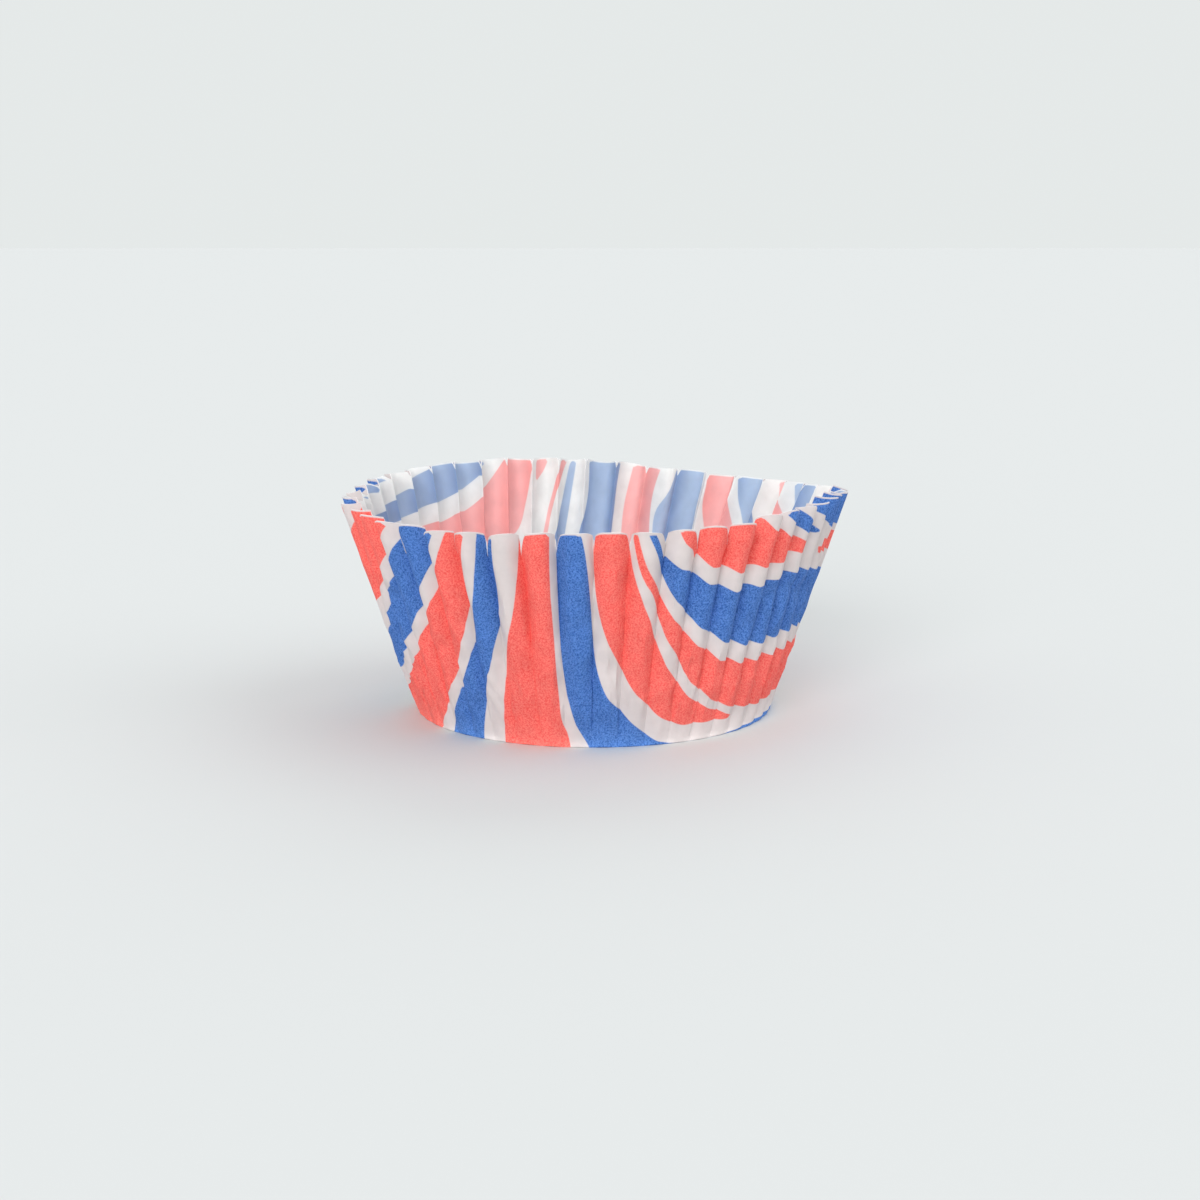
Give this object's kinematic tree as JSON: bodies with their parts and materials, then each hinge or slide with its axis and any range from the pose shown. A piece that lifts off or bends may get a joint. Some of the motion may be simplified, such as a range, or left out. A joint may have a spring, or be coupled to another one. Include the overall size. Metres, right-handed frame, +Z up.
{
  "type": "cupcake liner",
  "caption": "Pleated paper baking liner: a flat round base and a flared, fluted wall with a scalloped rim, printed with flowing red, white and blue stripes.",
  "frame": {"origin": "middle of the base's flat underside", "axes": "+Z up out of the mouth, -Y towards the front of the picture, +X to its right"},
  "size_m": [0.0709, 0.0724, 0.0316],
  "materials": {
    "printed_paper": "matt greaseproof paper, printed with red and blue stripes"
  },
  "bodies": {
    "root": {"paper_liner": "printed_paper"}
  },
  "joints": []
}
